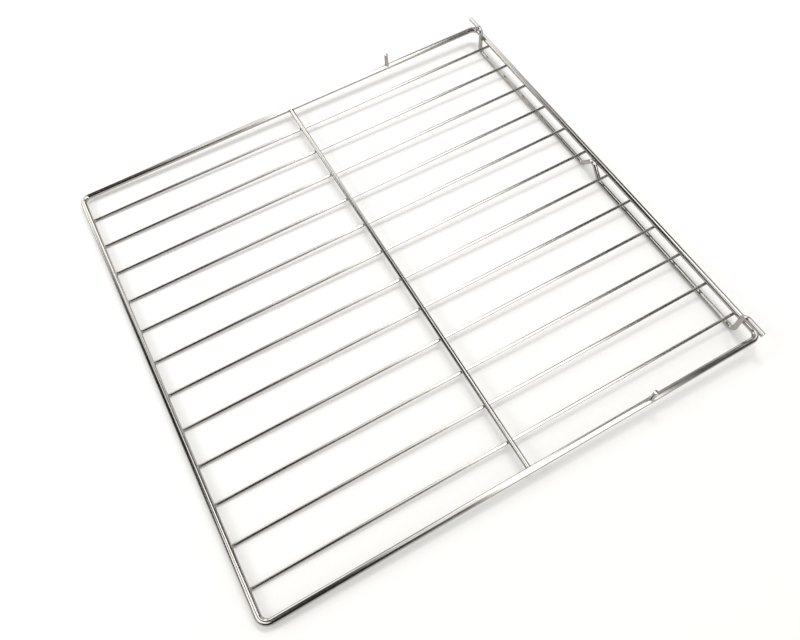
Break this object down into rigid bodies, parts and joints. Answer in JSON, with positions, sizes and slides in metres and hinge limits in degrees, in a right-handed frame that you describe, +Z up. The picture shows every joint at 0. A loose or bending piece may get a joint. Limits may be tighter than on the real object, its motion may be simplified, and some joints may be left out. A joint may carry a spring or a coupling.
{
  "type": "oven shelf rack",
  "caption": "Bright welded wire oven shelf: a near-square bent frame, thin cross wires, a centre support, a bent back guard and two stop pegs.",
  "frame": {"origin": "on the surface that the rack lies on, under the middle of its box", "axes": "+X across the oven, +Y from the front wire to the rear wire with the guard, +Z up; the rack lies with its guard's long run downwards and its pegs upwards, leaned by about 1.4 degrees onto the guard"},
  "size_m": [0.401, 0.4088, 0.0273],
  "materials": {
    "bright_wire": "bright plated steel wire, smooth drawn surface"
  },
  "bodies": {
    "root": {"frame_wire": "bright_wire", "centre_support_wire": "bright_wire", "back_guard_wire": "bright_wire", "stop_peg_left": "bright_wire", "stop_peg_right": "bright_wire", "cross_wire_01": "bright_wire", "cross_wire_02": "bright_wire", "cross_wire_03": "bright_wire", "cross_wire_04": "bright_wire", "cross_wire_05": "bright_wire", "cross_wire_06": "bright_wire", "cross_wire_07": "bright_wire", "cross_wire_08": "bright_wire", "cross_wire_09": "bright_wire", "cross_wire_10": "bright_wire", "cross_wire_11": "bright_wire", "cross_wire_12": "bright_wire"}
  },
  "joints": []
}
